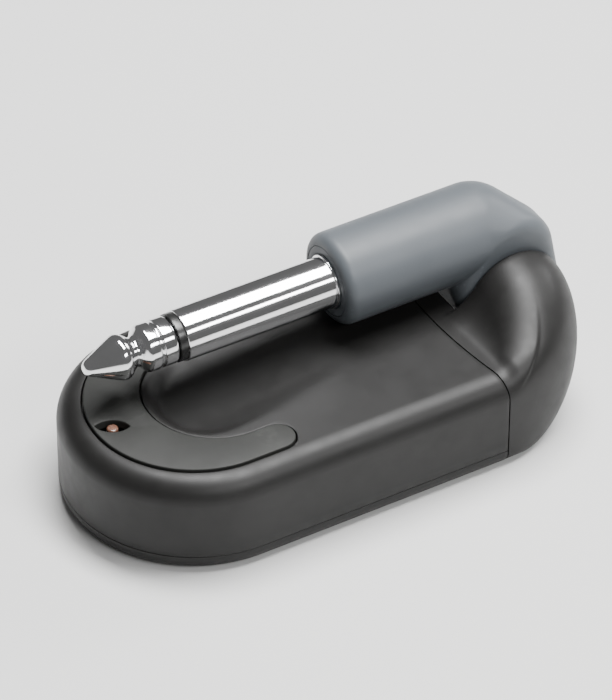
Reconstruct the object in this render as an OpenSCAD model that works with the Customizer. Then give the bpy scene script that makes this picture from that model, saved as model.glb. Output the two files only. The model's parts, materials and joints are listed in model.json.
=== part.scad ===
// Folding wireless transmitter for a guitar: a flat pocket body with a swan neck at one end, and
// an arm that swings a 6.35 mm jack plug out of the body about one hollow pivot.
// All sizes are in millimetres.
// Frame: the body lies flat on Z = 0 with the origin under the middle of the whole object.
// +X points to the pivot end, -Y to the side that carries the neck, +Z up.

/* [Body] */
// Width of the flat body
body_w = 33; // [32.5:0.5:35]
// Height of the flat body
body_h = 13; // [13:0.25:14]
// Length of the housing, from its round end to its joint with the end cap
housing_l = 50; // [49:0.5:54]
// Wall thickness of the housing
wall = 1.6; // [1.4:0.1:1.7]
// How far the joint with the end cap bows towards the round end
seam_bow = 2; // [1.5:0.1:2.2]

/* [Button] */
// Height of the crescent button above the body's top face
pad_proud = 0.25; // [0.1:0.05:0.4]
// Travel of the crescent button
pad_travel = 0.4; // [0.3:0.05:0.4]

/* [Arm] */
// Diameter of the round handle that holds the plug
handle_d = 11.6; // [11.4:0.1:11.8]
// Height of the plug's axis above the body's top face
plug_rise = 6.3; // [6.3:0.1:7]
// Radius of the arm's knuckle
arm_knuckle_r = 7; // [6.9:0.1:7.2]
// Radius of the neck's knuckle
neck_knuckle_r = 6.3; // [6.2:0.1:6.4]

/* [Plug] */
// Length of plug that stands out of the handle
plug_l = 32.8; // [32.3:0.1:33.1]

/* [Hidden] */

$fn = 64;
eps = 0.01;
bend_steps = 5;
lead_sides = 16;

// Frame positions
pivot_offset = 9.4;
total_l = housing_l + pivot_offset + arm_knuckle_r;
free_x = -total_l / 2;
seam_x = free_x + housing_l;
nose_x = free_x + body_w / 2;
pivot_x = seam_x + pivot_offset;
pivot_z = body_h - 0.5;
plug_z = body_h + plug_rise;
handle_r = handle_d / 2;
plug_y = 4.2;

// Body edges and levels
edge_top_r = 3;
edge_bottom_r = 2;
split_z = 2.4;
ceiling_z = body_h - 2.6;
cavity_r = body_w / 2 - wall;
seam_gap = 0.1;
seam_r = (pow(body_w / 2, 2) + pow(seam_bow, 2)) / (2 * seam_bow);
seam_centre_x = seam_x - seam_bow + seam_r;
deck_end_x = seam_x + 1.6;
lip_h = 1.2;
lip_t = 0.8;
lip_end_x = seam_x - 17;

// Crescent button
pad_gap = 0.2;
pad_t = 1.1;
pad_top_z = body_h + pad_proud;
pad_rest_gap = 0.05;
pad_floor_z = pad_top_z - pad_t - pad_travel - pad_rest_gap;
pad_outer_r = body_w / 2 - edge_top_r - 0.2;
pad_inner_r = 9;
pad_inner_x = nose_x + 2.7;
pad_limb_x = seam_x - 26.6;
post_r = 1;
eye_r = 2.6;
eye_half_w = 1.05;
eye_turn = 60;
led_x = seam_x - 44.6;
light_pipe_r = 0.7;
light_flange_r = 1.3;
light_flange_t = 0.6;
light_clear = 0.05;
led_size = [1.2, 1.6, 0.7];
switch_x = seam_x - 41.4;

// Scoop under the folded plug
scoop_depth = 1.5;
scoop_r = pad_inner_r - 0.7;
scoop_l = 29;
scoop_tilt = atan(scoop_depth / scoop_l);
scoop_trough_r = (pow(scoop_r, 2) + pow(scoop_depth, 2)) / (2 * scoop_depth);

// Circuit board and what it carries
pcb_t = 1;
pcb_z = 7;
pcb_top_z = pcb_z + pcb_t;
pcb_r = cavity_r - 2.2;
pcb_end_x = seam_x - 7;
switch_w = 3.4;
switch_h = 1;
plunger_r = 0.8;
plunger_z = pcb_top_z + 1.5;
shield_size = [12, 10, 1.5];
shield_at = [seam_x - 29.5, -2];
chip_w = 5;
chip_h = 0.8;
chip_at = [seam_x - 19, -4];
antenna_size = [2, 6.5, 1.1];
antenna_at = [seam_x - 38.4, 0];
usb_w = 8.94;
usb_h = 3.2;
usb_t = 0.3;
usb_l = 7.3;
usb_x = seam_x - 17;
usb_z = pcb_top_z - 0.6;
usb_face_y = body_w / 2 - 0.4;
usb_reach = 0.35;
usb_clear = 0.2;
tongue_w = 6.7;
tongue_t = 0.7;
tongue_base_l = 1.4;
tongue_set_back = 0.8;

// Battery
battery_size = [26, 16.5, 3.6];
battery_x = seam_x - 22.5;
battery_y = -1.6;
tape_t = 0.3;
tape_inset = 2;
battery_z = split_z + tape_t;
battery_wire_r = 0.45;
battery_wire_gap = 2.4;
battery_wire_reach = 1.4;
battery_wire_bend = 0.9;

// Screws and bosses
screw_r = 0.8;
screw_l = 5.4;
screw_hole_l = 6;
screw_hex_r = 0.6;
screw_hex_depth = 0.6;
screw_head_r = 1.5;
screw_head_h = 1;
screw_seat_z = 1.6;
screw_clear_r = 1;
screw_pocket_r = 1.8;
boss_r = 1.9;
boss_shoulder_r = 2.7;
boss_clear = 0.3;
screw_x_near = seam_x - 9;
screw_x_far = seam_x - 41;
screw_spots = [[screw_x_near, -12.2], [screw_x_near, 12.2], [screw_x_far, -9.4], [screw_x_far, 9.4]];
post_spots = [[seam_x - 38, -11], [seam_x - 38, 11], [seam_x - 13, -11.5], [seam_x - 10.5, 8]];

// Neck and end cap
neck_face_y = -1.9;
neck_root_x = seam_x - seam_bow - 1;
neck_blend = 5;
neck_ramp_l = 2.5;
neck_shoulder = 0.85;
side_flat = 0.75;
neck_layers = 14;
neck_arc_steps = 16;
neck_run_steps = 10;
spigot_l = 3.5;
spigot_clear = 0.1;
spigot_t = 1.2;
lead_r = 0.8;
lead_bend = 1.2;
lead_channel_r = 1.2;
lead_notch_w = 3;
lead_tail = 1.5;
lead_y = -6.4;
lead_entry = [seam_x - spigot_l, lead_y, pcb_top_z + 1];
lead_corner = [pivot_x, lead_y, pivot_z];

// Pivot
shaft_r = 2.5;
shaft_bore_r = 1.4;
shaft_clear = 0.05;
shaft_from_y = -8.5;
shaft_to_y = 6.4;
washer_r = 3.8;
washer_t = 0.5;
washer_y = 4.7;
clip_t = 0.5;
clip_r = 3.5;
clip_groove_r = 2.1;
clip_y = washer_y + washer_t;
clip_mouth_w = 3.4;

// Arm
arm_face_y = -1.6;
arm_outer_y = plug_y + handle_r;
arm_edge_r = 2;
arm_front_edge_r = 1.2;
handle_end_x = seam_x - 46 + plug_l;
handle_bend_x = seam_x + 6.9;
shoulder_x = seam_x + 9.7;
shoulder_z = body_h + 3.8;
shoulder_r = 6.1;
shoulder_edge_r = 1.8;
handle_edge_r = 1.3;
handle_bore_r = 4.5;
handle_bore_end_x = seam_x + 2;
arm_pocket_y = 4.6;
arm_pocket_r = 4.4;
arm_cap_t = 1.2;
arm_cap_rim_r = 0.4;
arm_cap_inner_rim_r = 0.05;
arm_lead_y = 7.5;
arm_channel_r = 1.6;
arm_lead_top = [handle_bore_end_x - 1, arm_lead_y, plug_z - 1];
arm_lead_corner = [pivot_x, arm_lead_y, pivot_z];

// Plug
plug_r = 3.175;
ring_r = 3;
root_r = 3.4;
root_x = handle_end_x - 0.3;
tip_x = handle_end_x - plug_l;
ring_x = tip_x + 11.5;
ring_t = 1;
sleeve_bore_r = 2.1;
rod_r = 1.05;
collar_x = handle_end_x + 1.6;
collar_t = 1.4;
collar_r = 4.3;
tail_r = 2.8;
tail_end_x = collar_x + collar_t + 3.2;
rear_t = 0.8;
lug_t = 0.35;
lug_r = 2.4;
lug_tab_l = 3.2;
lug_tab_w = 1.8;
lug_reach = 3.5;
rod_end_x = tail_end_x + rear_t + 2 * lug_t + 1.6;

// Half profile of the plug's tip, from its point: [distance from the point, radius]
tip_profile = [[0, 0.55], [0.35, 0.95], [3.9, 2.6], [4.6, 2.85], [5.2, 2.75], [6.3, 1.85],
    [6.8, 1.85], [7.5, 2.75], [7.8, 2.95], [9, 2.95], [9.1, 2.7], [9.5, 2.7], [9.6, 2.95],
    [11.1, 2.95], [11.5, 2.7]];

// ---------------------------------------------------------------- shared shapes

// Round-ended outline that starts with a half circle and runs straight along +X.
module stadium(r, straight) {
    circle(r);
    translate([0, -r])
        square([straight, 2 * r]);
}

// Cross-section of the flat body, centred on its width and standing on its underside.
module body_section() {
    half = body_w / 2;
    for (side = [-1, 1]) {
        translate([side * (half - edge_bottom_r), edge_bottom_r])
            circle(edge_bottom_r);
        translate([side * (half - edge_top_r), body_h - edge_top_r])
            circle(edge_top_r);
    }
    translate([-half, edge_bottom_r])
        square([body_w, body_h - edge_top_r - edge_bottom_r]);
    translate([edge_bottom_r - half, 0])
        square([body_w - 2 * edge_bottom_r, body_h / 2]);
    translate([edge_top_r - half, body_h / 2])
        square([body_w - 2 * edge_top_r, body_h / 2]);
}

// Solid of the flat body from its round end up to x_to.
module body_block(x_to) {
    translate([nose_x, 0, 0]) {
        rotate([0, 0, 90])
            rotate_extrude(angle = 180)
                intersection() {
                    body_section();
                    square([body_w, body_h]);
                }
        rotate([90, 0, 90])
            linear_extrude(x_to - nose_x)
                body_section();
    }
}

// Everything on the end cap's side of the bowed joint, grown by `grow`.
module seam_side(grow) {
    translate([seam_centre_x, 0, -1])
        cylinder(r = seam_r + grow, h = 2 * body_h, $fn = 256);
}

// Slab of space between two heights, wider than the body.
module level(z_from, z_to) {
    translate([-total_l, -body_w, z_from])
        cube([2 * total_l, 2 * body_w, z_to - z_from]);
}

// Cylinder lying along +X from x_from to x_to at the given Y and Z.
module x_bar(r, x_from, x_to, y, z) {
    translate([x_from, y, z])
        rotate([0, 90, 0])
            cylinder(r = r, h = x_to - x_from);
}

// Slanted cylinder between two points that have the same Y.
module slanted_bar(r, from, to) {
    step = to - from;
    translate(from)
        rotate([0, step[0] > 0 ? acos(step[2] / norm(step)) : -acos(step[2] / norm(step)), 0])
            cylinder(r = r, h = norm(step));
}

// Cylinder lying along +Y on the pivot axis.
module pivot_bar(r, y_from, y_to) {
    translate([pivot_x, y_from, pivot_z])
        rotate([-90, 0, 0])
            cylinder(r = r, h = y_to - y_from);
}

// Disc across the body's width, centred on the given X and Z, with a rounded rim on each side.
module cross_disc(r, x, z, y_from, y_to, rim_from, rim_to) {
    thick = y_to - y_from;
    translate([x, y_from, z])
        rotate([-90, 0, 0])
            rotate_extrude() {
                square([r - rim_from, thick - rim_to]);
                translate([0, rim_from])
                    square([r, thick - rim_from - rim_to]);
                square([r - rim_to, thick]);
                translate([r - rim_from, rim_from])
                    intersection() {
                        circle(rim_from);
                        translate([0, -rim_from])
                            square(rim_from);
                    }
                translate([r - rim_to, thick - rim_to])
                    intersection() {
                        circle(rim_to);
                        square(rim_to);
                    }
            }
}

function unit(v) = v / norm(v);

// Points of a path whose corners are each replaced by a smooth bend of length cut on both sides.
function bent(points, cut) =
    concat([points[0]],
        [for (i = [1 : len(points) - 2])
            let (corner = points[i],
                from = corner + cut * unit(points[i - 1] - corner),
                to = corner + cut * unit(points[i + 1] - corner))
                for (k = [0 : bend_steps])
                    let (t = k / bend_steps)
                        from * (1 - t) * (1 - t) + corner * 2 * t * (1 - t) + to * t * t],
        [points[len(points) - 1]]);

// Ring of radius r around point i of a path, square to the path's direction there.
function path_ring(path, i, r) =
    let (dir = unit(path[min(i + 1, len(path) - 1)] - path[max(i - 1, 0)]),
        side = unit(cross(dir, [1, -1, 1])),
        up = cross(dir, side))
    [for (k = [0 : lead_sides - 1])
        path[i] + r * (cos(360 * k / lead_sides) * side + sin(360 * k / lead_sides) * up)];

// Round lead that follows a list of points with smooth bends.
module lead(points, r, cut) {
    path = bent(points, cut);
    loft([for (i = [len(path) - 1 : -1 : 0]) path_ring(path, i, r)]);
}

function mean(points) = [for (p = points) 1] * points / len(points);

// Solid through a list of rings that all have the same number of points. Each end is a fan of
// triangles around the middle of its ring.
module loft(rings) {
    sides = len(rings[0]);
    last = len(rings) - 1;
    start_hub = len(rings) * sides;
    walls = [for (i = [0 : last - 1], k = [0 : sides - 1])
        let (a = i * sides + k, b = i * sides + (k + 1) % sides)
            each [[b, a, a + sides], [b, a + sides, b + sides]]];
    start = [for (k = [0 : sides - 1]) [start_hub, k, (k + 1) % sides]];
    finish = [for (k = [0 : sides - 1])
        [start_hub + 1, last * sides + (k + 1) % sides, last * sides + k]];
    polyhedron(points = concat([for (ring = rings) each ring], [mean(rings[0]), mean(rings[last])]),
        faces = concat(start, finish, walls));
}

// ---------------------------------------------------------------- housing

// Outline of the crescent button, grown by `grow` on every side.
module crescent(grow) {
    limb_r = (pad_outer_r - pad_inner_r) / 2;
    limb_y = pad_inner_r + limb_r;
    difference() {
        union() {
            translate([nose_x, 0])
                circle(pad_outer_r + grow, $fn = 128);
            translate([nose_x, -pad_outer_r - grow])
                square([pad_limb_x - limb_r - nose_x, 2 * (pad_outer_r + grow)]);
            for (side = [-1, 1])
                translate([pad_limb_x - limb_r, side * limb_y])
                    circle(limb_r + grow);
        }
        translate([pad_inner_x, 0])
            stadium(pad_inner_r - grow, body_w);
    }
}

// Pointed-oval window around the light.
module eye() {
    translate([led_x, 0])
        rotate(eye_turn)
            intersection_for(side = [-1, 1])
                translate([side * (eye_r - eye_half_w), 0])
                    circle(eye_r);
}

// Shallow trough in the top face below the folded plug. It runs out towards the joint.
module scoop() {
    start_x = pad_inner_x - scoop_r;
    intersection() {
        translate([start_x, 0, body_h - scoop_depth])
            rotate([0, -scoop_tilt, 0])
                x_bar(scoop_trough_r, -1, 1.5 * scoop_l, 0, scoop_trough_r, $fn = 128);
        translate([pad_inner_x, 0, body_h - 2 * scoop_depth])
            linear_extrude(3 * scoop_depth)
                stadium(scoop_r, scoop_l);
    }
}

// Oblong opening of the charging socket, grown by `grow`.
module usb_outline(grow) {
    r = usb_h / 2 + grow;
    for (side = [-1, 1])
        translate([side * (usb_w - usb_h) / 2, 0])
            circle(r);
    translate([(usb_h - usb_w) / 2, -r])
        square([usb_w - usb_h, 2 * r]);
}

module housing_top() {
    color([0.06, 0.06, 0.065]) {
        difference() {
            intersection() {
                body_block(seam_x + eps);
                level(split_z, body_h + 1);
            }
            seam_side(seam_gap / 2);
            translate([nose_x, 0, split_z - eps])
                linear_extrude(ceiling_z - split_z)
                    stadium(cavity_r, body_w * 2);
            scoop();
            translate([0, 0, pad_floor_z])
                linear_extrude(body_h)
                    crescent(pad_gap);
            translate([switch_x, 0, 0])
                cylinder(r = post_r + pad_gap, h = body_h);
            translate([led_x, 0, 0])
                cylinder(r = light_pipe_r + light_clear, h = body_h);
            translate([usb_x, body_w, usb_z])
                rotate([90, 0, 0])
                    linear_extrude(body_w - cavity_r + eps)
                        usb_outline(usb_reach);
        }
        for (spot = screw_spots)
            translate([spot[0], spot[1], 0])
                difference() {
                    union() {
                        translate([0, 0, split_z])
                            cylinder(r = boss_r, h = ceiling_z - split_z);
                        translate([0, 0, pcb_top_z])
                            cylinder(r = boss_shoulder_r, h = ceiling_z - pcb_top_z);
                    }
                    translate([0, 0, split_z - eps])
                        cylinder(r = screw_r, h = screw_hole_l);
                }
    }
}

module housing_bottom() {
    color([0.055, 0.055, 0.06]) {
        difference() {
            intersection() {
                body_block(seam_x + eps);
                level(-1, split_z);
            }
            seam_side(seam_gap / 2);
            for (spot = screw_spots)
                translate([spot[0], spot[1], -eps]) {
                    cylinder(r = screw_clear_r, h = split_z + 1);
                    cylinder(r = screw_pocket_r, h = screw_seat_z + eps);
                }
        }
        // locating lip inside the upper housing, stopped short of the end cap's spigot
        difference() {
            translate([nose_x, 0, split_z - eps])
                linear_extrude(lip_h)
                    difference() {
                        stadium(cavity_r - spigot_clear, lip_end_x - nose_x);
                        stadium(cavity_r - lip_t, body_w);
                    }
            for (spot = screw_spots)
                translate([spot[0], spot[1], 0])
                    cylinder(r = boss_r + boss_clear, h = body_h);
        }
        // posts that carry the circuit board
        for (spot = post_spots)
            translate([spot[0], spot[1], split_z - eps])
                cylinder(r = post_r, h = pcb_z - split_z + eps);
    }
}

module power_button() {
    color([0.1, 0.1, 0.105]) {
        translate([0, 0, pad_top_z - pad_t])
            linear_extrude(pad_t)
                difference() {
                    crescent(0);
                    eye();
                }
        translate([switch_x, 0, plunger_z + pad_travel + pad_rest_gap])
            cylinder(r = post_r, h = pad_top_z - pad_t / 2 - plunger_z - pad_travel);
    }
}

module light_pipe() {
    color([0.75, 0.5, 0.3]) {
        translate([led_x, 0, ceiling_z - light_flange_t - light_clear])
            cylinder(r = light_pipe_r, h = body_h - ceiling_z + light_flange_t + light_clear);
        translate([led_x, 0, ceiling_z - light_flange_t - light_clear])
            cylinder(r = light_flange_r, h = light_flange_t);
    }
}

// ---------------------------------------------------------------- end cap and neck

// How far a rounded edge of radius r has fallen at the given distance from the middle plane.
function edge_fall(y, r) =
    let (into = max(0, abs(y) - body_w / 2 + r))
        r - sqrt(max(0, r * r - into * into));

// Larger of two heights, with a soft corner of size k where they cross.
function soft_max(a, b, k) = max(a, b) + pow(max(0, k - abs(a - b)), 2) / (4 * k);

// Y of the layer a share v of the way from the neck's flat face (0) to the side wall (1).
function layer_y(v) = neck_face_y - (body_w / 2 + neck_face_y) * sin(90 * v);

// Smooth step from 0 to 1.
function smooth_step(t) = let (u = min(1, max(0, t))) u * u * (3 - 2 * u);

// Height of the knuckle's round top at distance d before its middle. It leaves the circle on a
// straight slope where the circle grows steep.
function knuckle_top(z_mid, r, d) =
    let (d0 = neck_shoulder * r, rest = sqrt(r * r - d0 * d0))
        d < d0 ? z_mid + sqrt(r * r - d * d) : z_mid + rest - (d - d0) * d0 / rest;

// One layer of the neck, parallel to its flat face: a knuckle that sinks back into the body's
// side wall as v grows, joined to the deck by a soft ramp that starts beyond the housing's joint.
function neck_layer(v) =
    let (y = layer_y(v),
        back = cos(90 * v),
        rise = pow(back, 3),
        top = body_h - edge_fall(y, edge_top_r),
        bottom = edge_fall(y, edge_bottom_r),
        middle = (top + bottom) / 2,
        x_mid = seam_x + pivot_offset * back,
        z_mid = middle + (pivot_z - middle) * rise,
        r = (top - bottom) / 2 + (neck_knuckle_r - (top - bottom) / 2) * rise,
        ramp_x = seam_centre_x - sqrt(seam_r * seam_r - y * y))
    concat(
        [for (i = [0 : neck_run_steps - 1])
            let (s = i / neck_run_steps, x = neck_root_x + s * (x_mid - neck_root_x))
                [x, y, bottom + (z_mid - r - bottom) * smooth_step(s)]],
        [for (i = [0 : neck_arc_steps])
            let (a = 180 * i / neck_arc_steps - 90)
                [x_mid + r * (1 - side_flat * v * v) * cos(a), y, z_mid + r * sin(a)]],
        [for (i = [neck_run_steps - 1 : -1 : 0])
            let (s = i / neck_run_steps,
                x = neck_root_x + s * (x_mid - neck_root_x),
                dome = knuckle_top(z_mid, r, x_mid - x),
                lift = soft_max(top, dome, neck_blend * back + eps) - top)
                [x, y, top + lift * smooth_step((x - ramp_x) / neck_ramp_l)]]);

module end_cap() {
    color([0.06, 0.06, 0.065])
        difference() {
            union() {
                intersection() {
                    union() {
                        intersection() {
                            body_block(deck_end_x);
                            translate([0, neck_face_y, -eps])
                                cube([total_l, body_w, body_h + 1]);
                        }
                        loft([for (i = [0 : neck_layers]) neck_layer(i / neck_layers)]);
                    }
                    seam_side(-seam_gap / 2);
                }
                spigot();
            }
            // way for the lead, from the spigot to the pivot's hole
            slanted_bar(lead_channel_r, lead_entry, lead_corner);
            pivot_bar(shaft_r, shaft_from_y, neck_face_y + 1);
        }
}

// Tongue of the end cap that fits inside the two housing halves.
module spigot() {
    w = 2 * (cavity_r - spigot_clear);
    z_from = split_z + spigot_clear;
    h = ceiling_z - split_z - 2 * spigot_clear;
    x_from = seam_x - seam_bow - spigot_l;
    difference() {
        translate([x_from, -w / 2, z_from])
            cube([spigot_l + seam_bow + eps, w, h]);
        translate([x_from - 1, spigot_t - w / 2, z_from + spigot_t])
            cube([spigot_l, w - 2 * spigot_t, h - 2 * spigot_t]);
        // notch in its upper side for the lead
        translate([x_from - 1, lead_y - lead_notch_w / 2, z_from + spigot_t])
            cube([spigot_l, lead_notch_w, h]);
    }
}

// ---------------------------------------------------------------- electronics

module circuit_board() {
    color([0.03, 0.16, 0.09])
        translate([0, 0, pcb_z])
            linear_extrude(pcb_t)
                difference() {
                    translate([nose_x, 0])
                        stadium(pcb_r, pcb_end_x - nose_x);
                    for (spot = screw_spots)
                        translate(spot)
                            circle(boss_r + boss_clear);
                    translate([usb_x - usb_w / 2 - usb_clear, usb_face_y - usb_l - usb_clear])
                        square([usb_w + 2 * usb_clear, usb_l + 1]);
                }
}

// Part that stands on the circuit board, centred on `at`.
module on_board(at, size) {
    translate([at[0] - size[0] / 2, at[1] - size[1] / 2, pcb_top_z])
        cube(size);
}

module radio_shield() {
    color([0.7, 0.71, 0.72])
        difference() {
            on_board(shield_at, shield_size);
            translate([0, 0, -usb_t])
                on_board(shield_at, shield_size - [2 * usb_t, 2 * usb_t, 0]);
        }
}

module control_chip() {
    color([0.05, 0.05, 0.05])
        on_board(chip_at, [chip_w, chip_w, chip_h]);
}

module chip_antenna() {
    color([0.85, 0.84, 0.8])
        on_board(antenna_at, antenna_size);
}

module status_led() {
    color([0.95, 0.75, 0.45])
        on_board([led_x, 0], led_size);
}

module tact_switch() {
    color([0.55, 0.55, 0.56]) {
        on_board([switch_x, 0], [switch_w, switch_w, switch_h]);
        translate([switch_x, 0, pcb_top_z])
            cylinder(r = plunger_r, h = plunger_z - pcb_top_z);
    }
}

module usb_shell() {
    color([0.75, 0.76, 0.77])
        translate([usb_x, usb_face_y, usb_z])
            rotate([90, 0, 0])
                difference() {
                    linear_extrude(usb_l)
                        usb_outline(0);
                    translate([0, 0, -eps])
                        linear_extrude(usb_l - usb_t + eps)
                            usb_outline(-usb_t);
                }
}

module usb_tongue() {
    color([0.06, 0.06, 0.06])
        translate([usb_x, usb_face_y - usb_l + usb_t, usb_z]) {
            rotate([-90, 0, 0])
                linear_extrude(tongue_base_l)
                    usb_outline(-usb_t - eps);
            translate([-tongue_w / 2, 0, -tongue_t / 2])
                cube([tongue_w, usb_l - usb_t - tongue_set_back, tongue_t]);
        }
}

module battery() {
    r = battery_size[2] / 2;
    color([0.72, 0.73, 0.75])
        translate([battery_x - battery_size[0] / 2, battery_y, battery_z + r])
            rotate([0, 90, 0])
                linear_extrude(battery_size[0]) {
                    for (side = [-1, 1])
                        translate([0, side * (battery_size[1] / 2 - r)])
                            circle(r);
                    translate([-r, r - battery_size[1] / 2])
                        square([2 * r, battery_size[1] - 2 * r]);
                }
}

module battery_tape() {
    size = battery_size - [tape_inset, 2 * tape_inset, 0];
    color([0.8, 0.79, 0.72])
        translate([battery_x - size[0] / 2, battery_y - size[1] / 2, split_z])
            cube([size[0], size[1], tape_t]);
}

module battery_leads() {
    x_from = battery_x + battery_size[0] / 2;
    z_from = battery_z + battery_size[2] / 2;
    color([0.7, 0.08, 0.06])
        for (side = [-1, 1])
            let (y = battery_y + side * battery_wire_gap / 2)
                lead([[x_from + eps, y, z_from],
                    [x_from + battery_wire_reach, y, z_from],
                    [x_from + battery_wire_reach, y, pcb_z]], battery_wire_r, battery_wire_bend);
}

// Shielded lead from the circuit board, through the neck, to the end of the hollow pivot.
module neck_lead() {
    start_x = pcb_end_x - lead_tail;
    color([0.12, 0.12, 0.12])
        lead([[start_x, lead_y, pcb_top_z + lead_r],
            lead_entry, lead_corner, [pivot_x, shaft_to_y, pivot_z]], lead_r, lead_bend);
}

module housing_screws() {
    color([0.25, 0.25, 0.26])
        for (spot = screw_spots)
            translate([spot[0], spot[1], screw_seat_z]) {
                cylinder(r = screw_r, h = screw_l);
                translate([0, 0, -screw_head_h])
                    difference() {
                        cylinder(r = screw_head_r, h = screw_head_h);
                        translate([0, 0, -eps])
                            cylinder(r = screw_hex_r, h = screw_hex_depth, $fn = 6);
                    }
            }
}

// ---------------------------------------------------------------- pivot

module friction_washer() {
    color([0.6, 0.6, 0.6])
        difference() {
            pivot_bar(washer_r, washer_y, washer_y + washer_t);
            pivot_bar(shaft_r, washer_y - 1, washer_y + 2);
        }
}

module retaining_clip() {
    color([0.5, 0.5, 0.52])
        difference() {
            pivot_bar(clip_r, clip_y, clip_y + clip_t);
            pivot_bar(clip_groove_r, clip_y - 1, clip_y + 1);
            translate([pivot_x - clip_mouth_w / 2, clip_y - 1, pivot_z - clip_r - 1])
                cube([clip_mouth_w, 3, clip_r + 1]);
        }
}

module pivot_shaft() {
    color([0.62, 0.62, 0.63])
        difference() {
            pivot_bar(shaft_r, shaft_from_y, shaft_to_y);
            pivot_bar(shaft_bore_r, shaft_from_y - 1, shaft_to_y + 1);
            // window where the lead comes in from the neck
            slanted_bar(lead_channel_r, lead_entry, lead_corner);
            difference() {
                pivot_bar(shaft_r + 1, clip_y, clip_y + clip_t);
                pivot_bar(clip_groove_r, clip_y - 1, clip_y + 1);
            }
        }
}

// ---------------------------------------------------------------- arm

module arm_shell() {
    color([0.36, 0.39, 0.42])
        difference() {
            union() {
                handle();
                hull() {
                    translate([handle_bend_x, plug_y, plug_z])
                        sphere(handle_r, $fn = 48);
                    cross_disc(shoulder_r, shoulder_x, shoulder_z, arm_face_y, plug_y,
                        shoulder_edge_r, shoulder_edge_r, $fn = 48);
                    cross_disc(arm_knuckle_r, pivot_x, pivot_z, arm_face_y, arm_outer_y,
                        arm_front_edge_r, arm_edge_r, $fn = 48);
                }
            }
            // bore that holds the plug's retainer, collar and tail
            x_bar(handle_bore_r, handle_end_x - 1, handle_bore_end_x, plug_y, plug_z);
            pivot_bar(shaft_r + shaft_clear, arm_face_y - 1, arm_pocket_y + 1);
            pivot_bar(arm_pocket_r, arm_pocket_y, arm_outer_y + 1);
            // way for the lead, from the handle's bore down to the knuckle's pocket
            slanted_bar(arm_channel_r, arm_lead_top, arm_lead_corner);
        }
}

// Straight round handle with a rounded edge at the plug's end.
module handle() {
    translate([handle_end_x, plug_y, plug_z])
        rotate([0, 90, 0])
            rotate_extrude() {
                square([handle_r - handle_edge_r, handle_bend_x - handle_end_x]);
                translate([0, handle_edge_r])
                    square([handle_r, handle_bend_x - handle_end_x - handle_edge_r]);
                translate([handle_r - handle_edge_r, handle_edge_r])
                    circle(handle_edge_r);
            }
}

module arm_cap() {
    color([0.36, 0.39, 0.42])
        cross_disc(arm_pocket_r, pivot_x, pivot_z, arm_outer_y - arm_cap_t, arm_outer_y,
            arm_cap_inner_rim_r, arm_cap_rim_r);
}

// Shielded lead from the plug's lugs, down the arm, to the end of the hollow pivot.
module arm_lead() {
    color([0.12, 0.12, 0.12])
        lead([[rod_end_x + 0.4, plug_y, plug_z],
            [handle_bore_end_x - 2, plug_y + 1, plug_z],
            arm_lead_top, arm_lead_corner], lead_r, lead_bend);
}

// ---------------------------------------------------------------- plug

// Solid of revolution on the plug's axis, from a list of [x, radius] points.
module turned(points) {
    first = points[0];
    last = points[len(points) - 1];
    outline = concat([[0, first[0]]], [for (p = points) [p[1], p[0]]], [[0, last[0]]]);
    translate([0, plug_y, plug_z])
        rotate([0, 90, 0])
            rotate_extrude()
                polygon(outline);
}

module plug_retainer() {
    color([0.36, 0.39, 0.42])
        difference() {
            x_bar(handle_bore_r, handle_end_x, collar_x, plug_y, plug_z);
            x_bar(root_r, handle_end_x - 1, collar_x + 1, plug_y, plug_z);
        }
}

module plug_sleeve() {
    color([0.8, 0.8, 0.82])
        difference() {
            union() {
                x_bar(plug_r, ring_x + ring_t, root_x + eps, plug_y, plug_z);
                x_bar(root_r, root_x, collar_x + eps, plug_y, plug_z);
                x_bar(collar_r, collar_x, collar_x + collar_t, plug_y, plug_z);
                x_bar(tail_r, collar_x, tail_end_x, plug_y, plug_z);
            }
            x_bar(sleeve_bore_r, ring_x, tail_end_x + 1, plug_y, plug_z);
        }
}

module plug_insulator() {
    color([0.05, 0.05, 0.05])
        difference() {
            union() {
                x_bar(ring_r, ring_x, ring_x + ring_t, plug_y, plug_z);
                x_bar(sleeve_bore_r, ring_x, tail_end_x, plug_y, plug_z);
            }
            x_bar(rod_r, ring_x - 1, tail_end_x + 1, plug_y, plug_z);
        }
}

module plug_tip() {
    color([0.8, 0.8, 0.82]) {
        turned([for (p = tip_profile) [tip_x + p[0], p[1]]]);
        x_bar(rod_r, ring_x - eps, rod_end_x, plug_y, plug_z);
    }
}

// Washer on the rod, between the two solder lugs.
module rear_insulator() {
    color([0.75, 0.7, 0.6])
        difference() {
            x_bar(lug_r + 0.4, tail_end_x + lug_t, tail_end_x + lug_t + rear_t, plug_y, plug_z);
            x_bar(rod_r, tail_end_x - 1, rod_end_x + 1, plug_y, plug_z);
        }
}

// Flat solder lug: a ring on the rod with a tab that bends back along the axis.
module lug(x, hole_r, side) {
    difference() {
        union() {
            x_bar(lug_r, x, x + lug_t, plug_y, plug_z);
            translate([x, plug_y - lug_tab_w / 2, plug_z + (side > 0 ? 0 : -lug_reach)])
                cube([lug_t, lug_tab_w, lug_reach]);
            translate([x, plug_y - lug_tab_w / 2, plug_z + side * lug_reach - lug_t / 2])
                cube([lug_tab_l, lug_tab_w, lug_t]);
        }
        x_bar(hole_r, x - 1, x + 1, plug_y, plug_z);
    }
}

module sleeve_lug() {
    color([0.78, 0.66, 0.36])
        lug(tail_end_x, rod_r + 0.5, -1);
}

module tip_lug() {
    color([0.78, 0.66, 0.36])
        lug(tail_end_x + lug_t + rear_t, rod_r, 1);
}

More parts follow.
